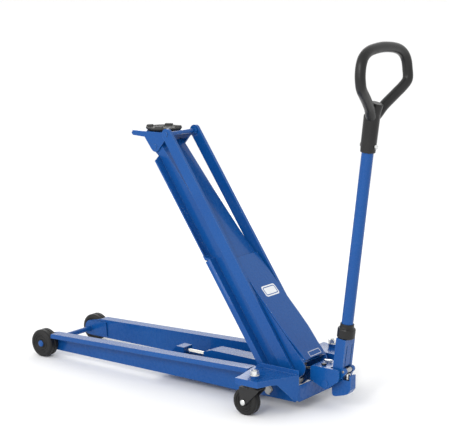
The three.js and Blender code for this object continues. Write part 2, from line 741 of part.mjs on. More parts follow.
place(chassis, 'ram_pipe', ramPipe(), steel());
place(chassis, 'pump_block', pumpBlock(), paint());
place(chassis, 'filler_plug', fillerPlug(), plastic());
place(chassis, 'yoke_pin', yokePin(), paint());
placePair(chassis, 'caster_bolt', casterBolt(), zinc);
placePair(chassis, 'caster_nut', casterNut(), zinc);

placePair(chassis, 'front_wheel', frontWheel(), rubber);
placePair(chassis, 'hub_cap', hubCap(), paint);
placePair(chassis, 'caster_fork', casterFork(), plastic);
placePair(chassis, 'caster_axle', casterAxle(), zinc);
placePair(chassis, 'caster_wheel', casterWheel(), rubber);

place(chassis, 'ram_barrel', ramBarrel(), paint());
place(chassis, 'ram_gland', ramGland(), steel());
place(chassis, 'ram_pusher', ramPusher(), steel());

place(arm, 'arm_channel', armChannel(), paint());
place(arm, 'arm_cover', armCover(), paint());
place(arm, 'lift_lever', liftLever(), steel());
place(arm, 'lever_roller', leverRoller(), steel());
place(arm, 'saddle_shaft', barY(7, [-60, 60], ARM.length, 0), paint());
placePair(chassis, 'parallel_rod', parallelRod(), paint);

place(saddleHead, 'saddle_holder', saddleHolder(), paint());
place(saddleHead, 'rod_shaft', barY(6, [-71, 71], LINK.x, LINK.z), paint());
place(saddleHead, 'saddle', saddle(), iron());
place(saddleHead, 'saddle_clip', saddleClip(), steel());

place(chassis, 'pump_plunger', pumpPlunger(), chrome());
place(chassis, 'plunger_spring', plungerSpring(), steel());
place(chassis, 'release_valve', releaseValve(), zinc());
place(handle, 'handle_yoke', handleYoke(), paint());
place(handle, 'cam_roller', camRoller(), steel());
place(handle, 'handle_tube', handleTube(), paint());
place(handle, 'handle_collar', handleCollar(), plastic());
place(handle, 'handle_grip', handleGrip(), plastic());
place(handle, 'grip_bolt', gripBolt(), zinc());

export default jack;
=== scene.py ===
"""The looks of a high-lift trolley jack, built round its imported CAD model. Metres, in the row frame."""
import json
import math

import bmesh
import bpy
from mathutils import Matrix, Vector

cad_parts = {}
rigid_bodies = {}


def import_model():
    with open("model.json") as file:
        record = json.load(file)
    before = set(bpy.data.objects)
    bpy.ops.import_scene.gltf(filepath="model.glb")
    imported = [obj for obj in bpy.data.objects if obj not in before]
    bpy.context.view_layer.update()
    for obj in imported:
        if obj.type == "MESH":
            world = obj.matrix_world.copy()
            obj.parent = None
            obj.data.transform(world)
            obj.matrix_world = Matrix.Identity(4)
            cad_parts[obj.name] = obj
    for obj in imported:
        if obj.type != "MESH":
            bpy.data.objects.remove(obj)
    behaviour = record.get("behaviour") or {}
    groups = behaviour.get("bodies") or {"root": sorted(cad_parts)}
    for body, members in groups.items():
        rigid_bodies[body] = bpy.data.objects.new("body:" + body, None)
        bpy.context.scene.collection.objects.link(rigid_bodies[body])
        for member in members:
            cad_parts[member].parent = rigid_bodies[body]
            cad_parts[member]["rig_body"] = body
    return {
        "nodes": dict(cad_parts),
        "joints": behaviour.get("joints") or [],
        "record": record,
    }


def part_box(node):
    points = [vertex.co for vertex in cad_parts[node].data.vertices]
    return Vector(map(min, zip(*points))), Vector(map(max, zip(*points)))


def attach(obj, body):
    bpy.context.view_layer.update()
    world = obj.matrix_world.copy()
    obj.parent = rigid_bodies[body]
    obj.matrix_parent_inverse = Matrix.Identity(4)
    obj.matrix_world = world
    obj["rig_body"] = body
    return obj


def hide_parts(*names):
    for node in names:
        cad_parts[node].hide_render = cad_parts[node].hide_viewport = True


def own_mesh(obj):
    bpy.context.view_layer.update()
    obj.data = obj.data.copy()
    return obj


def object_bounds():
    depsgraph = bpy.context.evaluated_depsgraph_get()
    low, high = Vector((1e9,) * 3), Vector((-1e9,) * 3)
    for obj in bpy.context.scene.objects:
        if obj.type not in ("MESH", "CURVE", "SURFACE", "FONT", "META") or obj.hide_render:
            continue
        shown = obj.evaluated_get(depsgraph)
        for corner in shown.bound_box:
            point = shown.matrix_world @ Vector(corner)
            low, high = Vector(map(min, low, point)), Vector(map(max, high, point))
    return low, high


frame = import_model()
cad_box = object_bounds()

MM = 0.001
TURN = 2 * math.pi
NEARLY_ZERO = 1e-9
SLIGHT_BEND = math.radians(8)
BODY_OF = {node: obj["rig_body"] for node, obj in frame["nodes"].items()}
SLOT_OF = {row["node"]: row["material_slot"] for row in frame["record"]["subparts"]}
JOINT = {joint["name"]: joint for joint in frame["joints"]}
SIDES = {"left": 1, "right": -1}


# ---- places, all worked out from the frame ----
def middle(node):
    low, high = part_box(node)
    return (low + high) / 2


def span(node):
    low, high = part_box(node)
    return high - low


def joint_place(name):
    return Vector(JOINT[name]["pos_m"])


def frame_at(origin, z_axis, y_axis=(0, 1, 0)):
    """The frame at origin whose Z runs along z_axis and whose Y lies as near y_axis as it can."""
    z = Vector(z_axis).normalized()
    x = Vector(y_axis).cross(z).normalized()
    y = z.cross(x)
    turn = Matrix((x, y, z)).transposed().to_4x4()
    return Matrix.Translation(origin) @ turn


def along_y(centre, side=1):
    """The frame of a cross shaft: local Z points outwards to that side."""
    return frame_at(centre, (0, side, 0), (0, 0, 1))


def along_z(centre):
    return frame_at(centre, (0, 0, 1))


def along_x(centre):
    return frame_at(centre, (1, 0, 0))


def reach(node, place):
    """Lowest and highest corner of a CAD node in the frame called place."""
    back = place.inverted()
    points = [back @ v.co for v in frame["nodes"][node].data.vertices]
    low = Vector([min(p[i] for p in points) for i in range(3)])
    high = Vector([max(p[i] for p in points) for i in range(3)])
    return low, high


# ---- materials ----
def node(tree, kind, inputs=None, **settings):
    made = tree.nodes.new(kind)
    for name, value in settings.items():
        setattr(made, name, value)
    for name, value in (inputs or {}).items():
        if isinstance(value, bpy.types.NodeSocket):
            tree.links.new(value, made.inputs[name])
        else:
            made.inputs[name].default_value = value
    return made


def blank(name, **sockets):
    """A material, its node tree and its shader, with the even values set on the shader itself."""
    material = bpy.data.materials.new(name)
    material.use_nodes = True
    tree = material.node_tree
    shader = tree.nodes["Principled BSDF"]
    for socket, value in sockets.items():
        shader.inputs[socket.replace("_", " ")].default_value = value
    return material, tree, shader


def grain(tree, scale, detail=3.0, stretch=(1, 1, 1)):
    """Noise from 0 to 1 that is fixed to the piece, with scale features per metre."""
    place = node(tree, "ShaderNodeTexCoord").outputs["Object"]
    placed = node(tree, "ShaderNodeMapping", {"Vector": place, "Scale": stretch}).outputs["Vector"]
    return node(tree, "ShaderNodeTexNoise", {"Vector": placed, "Scale": scale, "Detail": detail}).outputs[0]


def remap(tree, value, low, high, to_low=0.0, to_high=1.0):
    inputs = {"Value": value, "From Min": low, "From Max": high, "To Min": to_low, "To Max": to_high}
    return node(tree, "ShaderNodeMapRange", inputs).outputs["Result"]


def times(tree, a, b):
    return node(tree, "ShaderNodeMath", {0: a, 1: b}, operation="MULTIPLY").outputs[0]


def mix(tree, share, a, b):
    made = node(tree, "ShaderNodeMix", {0: share}, data_type="RGBA")
    for index, colour in ((6, a), (7, b)):
        if isinstance(colour, bpy.types.NodeSocket):
            tree.links.new(colour, made.inputs[index])
        else:
            made.inputs[index].default_value = (*colour, 1)
    return made.outputs[2]


def edges(tree, radius):
    """1 on outside edges sharper than radius, 0 on faces."""
    soft = node(tree, "ShaderNodeBevel", {"Radius": radius}, samples=4).outputs["Normal"]
    true = node(tree, "ShaderNodeNewGeometry").outputs["Normal"]
    dot = node(tree, "ShaderNodeVectorMath", {0: soft, 1: true}, operation="DOT_PRODUCT").outputs["Value"]
    return remap(tree, dot, 0.97, 0.8)


def corners(tree, distance):
    """1 deep in a corner, 0 out in the open."""
    open_air = node(tree, "ShaderNodeAmbientOcclusion", {"Distance": distance}, samples=4).outputs["AO"]
    return remap(tree, open_air, 0.75, 0.25)


def relief(tree, shader, height, depth, strength):
    """Bumps of at most that depth in metres, where height runs from 0 to 1."""
    inputs = {"Height": height, "Distance": depth, "Strength": strength}
    tree.links.new(node(tree, "ShaderNodeBump", inputs).outputs["Normal"], shader.inputs["Normal"])


BLUE, DEEP_BLUE = (0.004, 0.076, 0.285), (0.004, 0.062, 0.25)
# Painted light on the enamel: the first colour below darkens the paint in its corners as painted shade, the
# second lightens its edges as a painted highlight
BLUE_CORNER_SHADE, BLUE_EDGE_HIGHLIGHT = (0.02, 0.045, 0.12), (0.2, 0.36, 0.66)
BLACK_SCUFF, IRON_RUBBED = (0.11, 0.11, 0.108), (0.2, 0.195, 0.19)
OILY_DIRT = (0.12, 0.09, 0.06)


def enamel(name):
    """Sprayed gloss enamel: slow drift in depth, orange peel, painted shade in the corners that also
    roughens the paint there as dust would, and painted highlights along the edges.
    """
    material, tree, shader = blank(
        name, Specular_IOR_Level=0.16, Coat_Weight=0.35, Coat_Roughness=0.05, Coat_IOR=1.4
    )
    drift = remap(tree, grain(tree, 5, 2), 0.3, 0.7)
    tone = mix(tree, drift, DEEP_BLUE, BLUE)
    # Painted shade: the blue darkens towards a deep blue in corners, by ambient occlusion broken up by
    # noise; the same mask roughens the paint there as dust would
    dust = times(tree, corners(tree, 0.004), remap(tree, grain(tree, 60, 4), 0.35, 0.7, 0.05, 0.3))
    tone = mix(tree, dust, tone, BLUE_CORNER_SHADE)
    # Painted highlight: the edges are lightened towards a pale blue, broken up by noise
    edge_highlight = times(tree, edges(tree, 0.0018), remap(tree, grain(tree, 320, 5), 0.4, 0.64, 0.1, 0.5))
    tree.links.new(mix(tree, edge_highlight, tone, BLUE_EDGE_HIGHLIGHT), shader.inputs["Base Color"])
    fine = remap(tree, grain(tree, 90, 4), 0.3, 0.7, 0.25, 0.3)
    tree.links.new(remap(tree, dust, 0.0, 0.6, fine, 0.6), shader.inputs["Roughness"])
    relief(tree, shader, grain(tree, 260, 1), 0.00008, 0.05)
    return material


def moulded(name, colour, gloss, pit=650, depth=0.00012):
    """Moulded polymer: fine spark-eroded grain, scuffs that lighten the raised edges."""
    material, tree, shader = blank(name, Specular_IOR_Level=0.32)
    scuff = times(tree, edges(tree, 0.002), remap(tree, grain(tree, 150, 4), 0.45, 0.65, 0.1, 0.6))
    patchy = remap(tree, grain(tree, 22, 3), 0.3, 0.7)
    tone = mix(tree, patchy, colour, [c * 1.5 for c in colour])
    tree.links.new(mix(tree, scuff, tone, BLACK_SCUFF), shader.inputs["Base Color"])
    tree.links.new(remap(tree, patchy, 0, 1, gloss, gloss + 0.14), shader.inputs["Roughness"])
    relief(tree, shader, grain(tree, pit, 2), depth, 0.5)
    return material


def bare_metal(name, colour, roughness, stretch=(1, 1, 1), marks=500):
    """Metal with machining or plating marks, and a thin film of oil and dirt in the corners."""
    material, tree, shader = blank(name, Metallic=1.0)
    drift = remap(tree, grain(tree, 40, 3), 0.3, 0.7)
    tone = mix(tree, drift, colour, [c * 0.82 for c in colour])
    dirt = times(tree, corners(tree, 0.008), remap(tree, grain(tree, 120, 3), 0.3, 0.7, 0.2, 0.8))
    tree.links.new(mix(tree, dirt, tone, OILY_DIRT), shader.inputs["Base Color"])
    streak = grain(tree, marks, 2, stretch)
    spread = remap(tree, streak, 0.3, 0.7, roughness * 0.75, roughness * 1.3)
    tree.links.new(spread, shader.inputs["Roughness"])
    relief(tree, shader, streak, 0.00003, 0.4)
    return material


def casting(name, colour):
    """Rough dark casting, rubbed brighter on its raised edges."""
    material, tree, shader = blank(name, Metallic=0.55)
    coarse = grain(tree, 260, 5)
    worn = times(tree, edges(tree, 0.003), remap(tree, grain(tree, 130, 3), 0.35, 0.6, 0.1, 0.8))
    tone = mix(tree, remap(tree, coarse, 0.3, 0.7), colour, [c * 1.7 for c in colour])
    tree.links.new(mix(tree, worn, tone, IRON_RUBBED), shader.inputs["Base Color"])
    tree.links.new(remap(tree, coarse, 0.3, 0.7, 0.5, 0.72), shader.inputs["Roughness"])
    relief(tree, shader, coarse, 0.0004, 0.6)
    return material


def printed(name, colour):
    """Sticker film: nearly even, with faint dust and a slight sheen."""
    material, tree, shader = blank(name, Specular_IOR_Level=0.4, Coat_Weight=0.2, Coat_Roughness=0.2)
    dust = remap(tree, grain(tree, 80, 4), 0.35, 0.75, 0.0, 0.25)
    tree.links.new(mix(tree, dust, colour, [c * 0.8 for c in colour]), shader.inputs["Base Color"])
    tree.links.new(remap(tree, grain(tree, 200, 2), 0.3, 0.7, 0.35, 0.5), shader.inputs["Roughness"])
    return material


FINISH = {
    "blue_paint": enamel("blue enamel"),
    "wheel_polymer": moulded("wheel polymer", (0.007, 0.007, 0.0068), 0.42, pit=420, depth=0.0002),
    "black_plastic": moulded("grip plastic", (0.009, 0.009, 0.009), 0.27),
    "black_steel": moulded("black coated steel", (0.012, 0.012, 0.0125), 0.38, pit=900, depth=0.00006),
    "zinc": bare_metal("zinc plate", (0.80, 0.81, 0.80), 0.30),
    "chrome": bare_metal("hard chrome", (0.86, 0.84, 0.78), 0.12, stretch=(0.05, 1, 1), marks=900),
    "cast_saddle": casting("saddle casting", (0.035, 0.035, 0.034)),
    "bare_steel": bare_metal("machined steel", (0.46, 0.46, 0.45), 0.36),
}
STICKER = printed("sticker white", (0.78, 0.80, 0.82))


# ---- mesh work ----
def new_piece(name, bm, smooth=True):
    bmesh.ops.recalc_face_normals(bm, faces=bm.faces)
    mesh = bpy.data.meshes.new(name)
    bm.to_mesh(mesh)
    bm.free()
    mesh.polygons.foreach_set("use_smooth", [smooth] * len(mesh.polygons))
    piece = bpy.data.objects.new(name, mesh)
    bpy.context.scene.collection.objects.link(piece)
    return piece


def even_shading(piece):
    """Flat faces shade flat and the rounds between them shade round."""
    piece.modifiers.new("even shading", "WEIGHTED_NORMAL").keep_sharp = True
    return piece


def settle(piece):
    """Turns the piece's modifiers into plain mesh."""
    graph = bpy.context.evaluated_depsgraph_get()
    made = bpy.data.meshes.new_from_object(piece.evaluated_get(graph), depsgraph=graph)
    piece.modifiers.clear()
    piece.data = made
    return piece


def stands_for(piece, node_name):
    """The piece takes the node's place: its body and finish are the node's, which isn't shown."""
    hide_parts(node_name)
    return goes_with(piece, node_name)


def goes_with(piece, node_name, finish=None):
    """An extra piece on the same body as a node, in the node's finish or its own."""
    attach(piece, BODY_OF[node_name])
    piece.data.materials.clear()
    piece.data.materials.append(finish or FINISH[SLOT_OF[node_name]])
    return piece


def on_ring(radius, angle, height):
    """A point on a circle about the local Z axis."""
    return Vector((radius * math.cos(angle), radius * math.sin(angle), height))


def rounded(profile, radius, steps=3, closed=True):
    """The outline with its corners turned into arcs of at most that radius. A bend too slight to
    notice stays as it is, and a short side keeps a tenth of its length straight."""
    points = [Vector(p) for p in profile]
    made = []
    for i, corner in enumerate(points):
        if not closed and i in (0, len(points) - 1):
            made.append(corner)
            continue
        before, after = points[i - 1] - corner, points[(i + 1) % len(points)] - corner
        bend = math.pi - before.angle(after)
        if bend < SLIGHT_BEND:
            made.append(corner)
            continue
        room = min(radius * math.tan(bend / 2), 0.45 * before.length, 0.45 * after.length)
        start, end = corner + before.normalized() * room, corner + after.normalized() * room
        for k in range(steps + 1):
            t = k / steps
            made.append(start.lerp(corner, t).lerp(corner.lerp(end, t), t))
    return made


def turned(name, profile, place, segments=96, fillet=0.6 * MM, sweep=TURN):
    """A lathe piece about the Z axis of place. Profile points are (radius, height); it closes on itself,
    or starts and ends on the axis. A sweep under a full turn leaves a gap, as in a snap ring."""
    on_axis = profile[0][0] < NEARLY_ZERO
    line = rounded(profile, fillet, closed=not on_axis)
    whole = sweep == TURN
    count = segments if whole else segments + 1
    bm = bmesh.new()
    rings = []
    for r, z in line:
        if r < NEARLY_ZERO:
            rings.append([bm.verts.new(place @ Vector((0, 0, z)))] * count)
            continue
        angles = [sweep * i / segments for i in range(count)]
        rings.append([bm.verts.new(place @ on_ring(r, a, z)) for a in angles])
    pairs = list(zip(rings, rings[1:])) + ([] if on_axis else [(rings[-1], rings[0])])
    for a, b in pairs:
        for i in range(segments):
            j = (i + 1) % count
            corner = list(dict.fromkeys((a[i], a[j], b[j], b[i])))
            if len(corner) > 2:
                bm.faces.new(corner)
    if not whole:
        bm.faces.new([ring[0] for ring in rings])
        bm.faces.new([ring[-1] for ring in reversed(rings)])
    return even_shading(new_piece(name, bm))


def hexagon(name, apothem, low, high, place, bore=0.0, chamfer_top=True, chamfer_low=False):
    """A nut or bolt head with its corners chamfered by a 30 degree cone."""
    sides, per_side = 6, 8
    count = sides * per_side
    drop = math.tan(math.radians(30))

    def rim(z, direction, chamfered):
        ring = []
        for i in range(count):
            a = TURN * i / count
            r = apothem / math.cos((a + math.pi / sides) % (TURN / sides) - math.pi / sides)
            lower = (r - apothem) * drop if chamfered else 0
            ring.append((r, a, z - direction * lower))
        return ring

    circle = [(apothem * 0.985, TURN * i / count) for i in range(count)]
    rings = [
        [(r, a, low) for r, a in circle],
        rim(low, -1, chamfer_low),
        rim(high, 1, chamfer_top),
        [(r, a, high) for r, a in circle],
    ]
    if bore:
        rings.append([(bore, TURN * i / count, high) for i in range(count)])
        rings.append([(bore, TURN * i / count, low) for i in range(count)])
    bm = bmesh.new()
    made = [[bm.verts.new(place @ on_ring(*point)) for point in ring] for ring in rings]
    loops = list(zip(made, made[1:])) + ([(made[-1], made[0])] if bore else [])
    for a, b in loops:
        for i in range(count):
            bm.faces.new((a[i], a[(i + 1) % count], b[(i + 1) % count], b[i]))
    if not bore:
        bm.faces.new(made[0])
        bm.faces.new(made[-1])
    return new_piece(name, bm, smooth=False)


def swept(name, points, radius, sides=16, closed=False):
    """A tube along the points. Radius is a number, or a function of the share of the way along."""
    size = radius if callable(radius) else (lambda share: radius)
    path = [Vector(p) for p in points]
    count = len(path)
    bm = bmesh.new()
    rings = []
    side = None
    for i, point in enumerate(path):
        ahead = path[(i + 1) % count] if closed or i < count - 1 else point
        behind = path[i - 1] if closed or i else point
        way = (ahead - behind).normalized()
        if side is None:
            side = way.orthogonal().normalized()
        side = (side - way * side.dot(way)).normalized()
        other = way.cross(side)
        r = size(i / max(1, count - 1))
        angles = [TURN * k / sides for k in range(sides)]
        rings.append([bm.verts.new(point + (side * math.cos(a) + other * math.sin(a)) * r) for a in angles])
    shift = 0
    if closed:
        gaps = [(rings[0][k].co - rings[-1][0].co).length for k in range(sides)]
        shift = gaps.index(min(gaps))
    pairs = [(a, b, 0) for a, b in zip(rings, rings[1:])]
    if closed:
        pairs.append((rings[-1], rings[0], shift))
    for a, b, turn in pairs:
        for k in range(sides):
            n = (k + 1) % sides
            bm.faces.new((a[k], a[n], b[(n + turn) % sides], b[(k + turn) % sides]))
    if not closed:
        bm.faces.new(rings[0])
        bm.faces.new(rings[-1])
    return new_piece(name, bm)


def curve_through(points, steps):
    """A smooth closed curve through the given points, with that many steps from each to the next."""
    path = [Vector(p) for p in points]
    count = len(path)
    made = []
    for i in range(count):
        a, b, c, d = [path[(i + k) % count] for k in (-1, 0, 1, 2)]
        slope, bend, twist = c - a, 2 * a - 5 * b + 4 * c - d, 3 * b - a - 3 * c + d
        for k in range(steps):
            t = k / steps
            made.append(0.5 * (2 * b + slope * t + bend * t * t + twist * t ** 3))
    return made


def bead(name, points, beside, radius=2.0 * MM, closed=False):
    """A weld: a half-sunk round string, with a ripple at each place where the metal froze."""
    dense, gap = [], 0.7 * MM
    stops = list(points) + ([points[0]] if closed else [])
    for a, b in zip(stops, stops[1:]):
        a, b = Vector(a), Vector(b)
        count = max(1, round((b - a).length / gap))
        dense += [a.lerp(b, k / count) for k in range(count)]
    if not closed:
        dense.append(Vector(stops[-1]))
    total = len(dense) * gap
    ripples = round(total / (3.2 * MM))

    def size(share):
        ends = 1.0 if closed else min(1.0, 0.45 + 30 * min(share, 1 - share))
        wave = abs(math.sin(math.pi * ripples * share))
        return radius * ends * (0.86 + 0.14 * wave)

    return goes_with(swept(name, dense, size, sides=10, closed=closed), beside)


def ring_points(place, radius, count=48):
    return [place @ on_ring(radius, TURN * i / count, 0) for i in range(count)]


def refined(node_name, width=0.8 * MM, segments=2, bends=(), sharp=30):
    """The CAD shape with its coplanar faces merged and every edge sharper than sharp rounded. bends is
    a list of (test, radius, segments) for edges that are pressed or cast with a larger radius."""
    source = frame["nodes"][node_name].data
    bm = bmesh.new()
    verts = [bm.verts.new(v.co) for v in source.vertices]
    for face in source.polygons:
        bm.faces.new([verts[i] for i in face.vertices])
    bmesh.ops.remove_doubles(bm, verts=bm.verts, dist=0.005 * MM)
    bmesh.ops.dissolve_limit(bm, angle_limit=math.radians(0.8), verts=bm.verts, edges=bm.edges)
    for test, radius, steps in bends:
        chosen = [e for e in bm.edges if is_hard(e, sharp) and test(e.verts[0].co, e.verts[1].co)]
        round_off(bm, chosen, radius, steps)
    round_off(bm, [e for e in bm.edges if is_hard(e, sharp)], width, segments)
    return stands_for(even_shading(new_piece(f"{node_name}_finished", bm)), node_name)


def is_hard(edge, sharp):
    return len(edge.link_faces) == 2 and edge.calc_face_angle(0) > math.radians(sharp)


def round_off(bm, chosen, radius, segments):
    if not chosen:
        return
    bmesh.ops.bevel(
        bm, geom=chosen, offset=radius, offset_type="OFFSET", segments=segments, profile=0.5,
        affect="EDGES", clamp_overlap=True, miter_outer="ARC",
    )


def fused(name, parts, voxel, relax):
    """One cast or moulded body: overlapping parts made one, and relaxed so that they flow together."""
    bm = bmesh.new()
    for part in parts:
        bm.from_mesh(part.data)
        bpy.data.objects.remove(part)
    piece = new_piece(name, bm)
    remesh = piece.modifiers.new("one body", "REMESH")
    remesh.mode, remesh.voxel_size, remesh.use_smooth_shade = "VOXEL", voxel, True
    smooth = piece.modifiers.new("flow", "SMOOTH")
    smooth.factor, smooth.iterations = 0.5, relax
    settle(piece)
    piece.data.polygons.foreach_set("use_smooth", [True] * len(piece.data.polygons))
    return piece


def drilled(piece, drill):
    """The piece with the drill's volume cut out of it."""
    cut = piece.modifiers.new("hole", "BOOLEAN")
    cut.operation, cut.object, cut.solver = "DIFFERENCE", drill, "EXACT"
    bpy.context.view_layer.update()
    settle(piece)
    bpy.data.objects.remove(drill)
    return piece


# ---- camera, floor and light ----
CAMERA_PLACE = (-2.3046, 2.9756, 1.1792)
CAMERA_AZIMUTH, CAMERA_ELEVATION = math.radians(217.02), math.radians(10.86)
CAMERA_LENS, CAMERA_SENSOR = 108.17, 36


def make_camera():
    """Behind the jack's left rear corner, a little above its saddle."""
    level = math.cos(CAMERA_ELEVATION)
    back = Vector((
        math.sin(CAMERA_AZIMUTH) * level, -math.cos(CAMERA_AZIMUTH) * level, math.sin(CAMERA_ELEVATION),
    ))
    data = bpy.data.cameras.new("camera")
    data.lens, data.sensor_width = CAMERA_LENS, CAMERA_SENSOR
    camera = bpy.data.objects.new("camera", data)
    camera.location = CAMERA_PLACE
    camera.rotation_mode = "QUATERNION"
    camera.rotation_quaternion = (-back).to_track_quat("-Z", "Y")
    bpy.context.scene.collection.objects.link(camera)
    bpy.context.scene.camera = camera


def make_floor():
    bm = bmesh.new()
    half = 60   # metres, so that its edge lies far beyond the object
    corners_at = [(-half, -half), (half, -half), (half, half), (-half, half)]
    bm.faces.new([bm.verts.new((x, y, cad_box[0].z)) for x, y in corners_at])
    floor = new_piece("floor", bm, smooth=False)
    material, tree, shader = blank("pale floor", Specular_IOR_Level=0.1, Roughness=0.9)
    tone = remap(tree, grain(tree, 3, 2), 0.3, 0.7)
    tree.links.new(mix(tree, tone, (0.97, 0.97, 0.97), (0.95, 0.95, 0.95)), shader.inputs["Base Color"])
    floor.data.materials.append(material)


def key_light(towards, strength, spread):
    """Soft even light from one side, the same all over the floor."""
    data = bpy.data.lights.new("key", "SUN")
    data.energy, data.angle = strength, math.radians(spread)
    light = bpy.data.objects.new("key", data)
    light.rotation_mode = "QUATERNION"
    light.rotation_quaternion = Vector(towards).to_track_quat("Z", "Y")
    bpy.context.scene.collection.objects.link(light)


def soft_box(name, place, target, along, size, power):
    """A box light that faces the target, its long side turned towards the direction along."""
    data = bpy.data.lights.new(name, "AREA")
    data.shape, data.size, data.size_y, data.energy = "RECTANGLE", *size, power
    back = (Vector(place) - Vector(target)).normalized()
    side = (Vector(along) - back * back.dot(Vector(along))).normalized()
    light = bpy.data.objects.new(name, data)
    light.matrix_world = Matrix((side, back.cross(side), back)).transposed().to_4x4()
    light.location = place
    bpy.context.scene.collection.objects.link(light)


def make_light():
    """An even white studio, a low key light, a strip along the arm and a soft box behind."""
    world = bpy.data.worlds.new("studio")
    world.use_nodes = True
    background = world.node_tree.nodes["Background"]
    background.inputs["Color"].default_value = (1, 1, 1, 1)
    background.inputs["Strength"].default_value = 1.0
    bpy.context.scene.world = world
    key_light(towards=(0.35, 0.85, 0.4), strength=0.55, spread=28)
    along_the_arm = (0.565, 0, 0.825)
    soft_box("strip", (-1.2, 3.9, 2.7), (-0.1, 0, 0.3), along_the_arm, (1.7, 0.2), power=60)
    across_the_view = (0.8, 0.6, 0)
    soft_box("back box", (1.9, -2.6, 1.5), (-0.1, 0, 0.15), across_the_view, (2.4, 0.9), power=15)
    bpy.context.scene.view_settings.view_transform = "Standard"


# ---- wheels ----
def wheel_line(radius, half, bore):
    """Outline of a moulded wheel: hub, dished web, rim, and a groove round the middle of the tread."""
    side = [
        (bore, half - 1 * MM), (bore + 5 * MM, half - 1 * MM), (bore + 7 * MM, half - 4 * MM),
        (radius * 0.40, half - 4.6 * MM), (radius * 0.42, half - 3.6 * MM),
        (radius * 0.46, half - 3.6 * MM), (radius * 0.48, half - 4.8 * MM),
        (radius * 0.54, half - 4.8 * MM), (radius * 0.60, half - 2 * MM),
        (radius * 0.66, half - 1.6 * MM), (radius * 0.70, half - 2.6 * MM), (radius * 0.73, half),
        (radius * 0.86, half), (radius * 0.95, half * 0.9), (radius, half * 0.72),
        (radius, half * 0.14), (radius - 2.2 * MM, half * 0.06),
    ]
    return side + [(r, -y) for r, y in reversed(side)]


def wheels(prefix, bore):
    """A wheel on each side, round the bore that its axle needs."""
    for side, sign in SIDES.items():
        wheel = f"{prefix}_{side}"
        place = along_y(middle(wheel), sign)
        size = span(wheel)
        line = wheel_line(size.z / 2, size.y / 2, bore)
        stands_for(turned(f"{wheel}_tyre", line, place, 128, 1.1 * MM), wheel)


def hub_caps():
    """Domed caps on the front axle's ends."""
    for side, sign in SIDES.items():
        cap = f"hub_cap_{side}"
        place = along_y(middle(cap), sign)
        r, h = span(cap).z / 2, span(cap).y / 2
        line = [(0, -h), (r * 0.95, -h), (r, -h * 0.5), (r * 0.9, h * 0.3), (r * 0.62, h * 0.8), (0, h)]
        stands_for(turned(f"{cap}_dome", line, place, 64, 1.2 * MM), cap)


def on_foot(node_name):
    """The upright frame at the middle of a node's lowest face."""
    centre = middle(node_name)
    return along_z(Vector((centre.x, centre.y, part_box(node_name)[0].z)))


def caster_fittings():
    """The castors' axles, and the bolts, washers and nuts that they swivel on."""
    for side, sign in SIDES.items():
        caster_axle(side, sign)
        nut = f"caster_nut_{side}"
        place = on_foot(nut)
        hole, rim, thickness = 6.4 * MM, 14 * MM, 2.3 * MM
        outline = [(hole, 0), (rim, 0), (rim, thickness), (hole, thickness)]
        goes_with(turned(f"swivel_washer_{side}", outline, place, 64, 0.4 * MM), nut)
        flats, low, high = 9.9 * MM, 2.4 * MM, 13 * MM
        body = hexagon(f"swivel_nut_{side}", flats, low, high, place, bore=6.2 * MM, chamfer_low=True)
        stands_for(body, nut)
        swivel_bolt(side)


def caster_axle(side, sign):
    axle = f"caster_axle_{side}"
    place = along_y(middle(axle), sign)
    half = span(axle).y / 2
    shank, under_head = 5 * MM, half - 5.4 * MM
    cap = [(8 * MM, under_head), (7.6 * MM, half - 2.6 * MM), (shank, half - 0.8 * MM)]
    line = [(0, -half), *[(r, -h) for r, h in reversed(cap)], (shank, -under_head), (shank, under_head)]
    line += [*cap, (0, half)]
    stands_for(turned(f"castor_axle_{side}", line, place, 64, 1.0 * MM), axle)


def swivel_bolt(side):
    """Hexagon head inside the fork's neck, shank, and a thread above the nut."""
    bolt = f"caster_bolt_{side}"
    place = on_foot(bolt)
    length = span(bolt).z
    pitch, root, crest, head_height = 1.75 * MM, 5.1 * MM, 5.95 * MM, 7.2 * MM
    smooth_to = 0.52 * length
    around, per_turn = 48, 8
    steps = int((length - smooth_to) / pitch * per_turn)
    bm = bmesh.new()
    rings = [[(crest, a, z) for a in range(around)] for z in (head_height, smooth_to)]
    for k in range(1, steps):
        z = smooth_to + k * pitch / per_turn
        fade = min(1.0, (length - z) / (1.5 * MM))
        ring = []
        for a in range(around):
            phase = (z / pitch - a / around) % 1.0
            depth = (1 - abs(2 * phase - 1)) * (crest - root)
            ring.append(((root + depth) * (0.85 + 0.15 * fade), a, z))
        rings.append(ring)
    made = [
        [bm.verts.new(place @ on_ring(r, TURN * a / around, z)) for r, a, z in ring]
        for ring in rings
    ]
    for a, b in zip(made, made[1:]):
        for i in range(around):
            bm.faces.new((a[i], a[(i + 1) % around], b[(i + 1) % around], b[i]))
    bm.faces.new(made[0])
    bm.faces.new(made[-1])
    stands_for(new_piece(f"swivel_bolt_{side}", bm), bolt)
    flats = 9.0 * MM
    head = hexagon(
        f"swivel_bolt_head_{side}", flats, 0, head_height, place, chamfer_top=False, chamfer_low=True
    )
    goes_with(head, bolt)


# ---- shafts and rings ----
def bar_line(radius, half, chamfer=0.8 * MM, grooves=()):
    """Half outline of a plain bar with chamfered ends and ring grooves at the given heights."""
    line = [(0, -half), (radius - chamfer, -half), (radius, -half + chamfer)]
    for at, width, depth in sorted(grooves):
        line += [(radius, at - width / 2), (radius - depth, at - width / 2)]
        line += [(radius - depth, at + width / 2), (radius, at + width / 2)]
    return line + [(radius, half - chamfer), (radius - chamfer, half), (0, half)]


def cross_shaft(node_name, name, grooves=(), chamfer=1.0 * MM):
    """A shaft that lies across the jack, as long and thick as its CAD node."""
    size = span(node_name)
    line = bar_line(size.z / 2, size.y / 2, chamfer, grooves)
    return stands_for(turned(name, line, along_y(middle(node_name)), 72, 0.25 * MM), node_name)


def tube_line(inner, outer, half):
    return [(inner, -half), (outer, -half), (outer, half), (inner, half)]


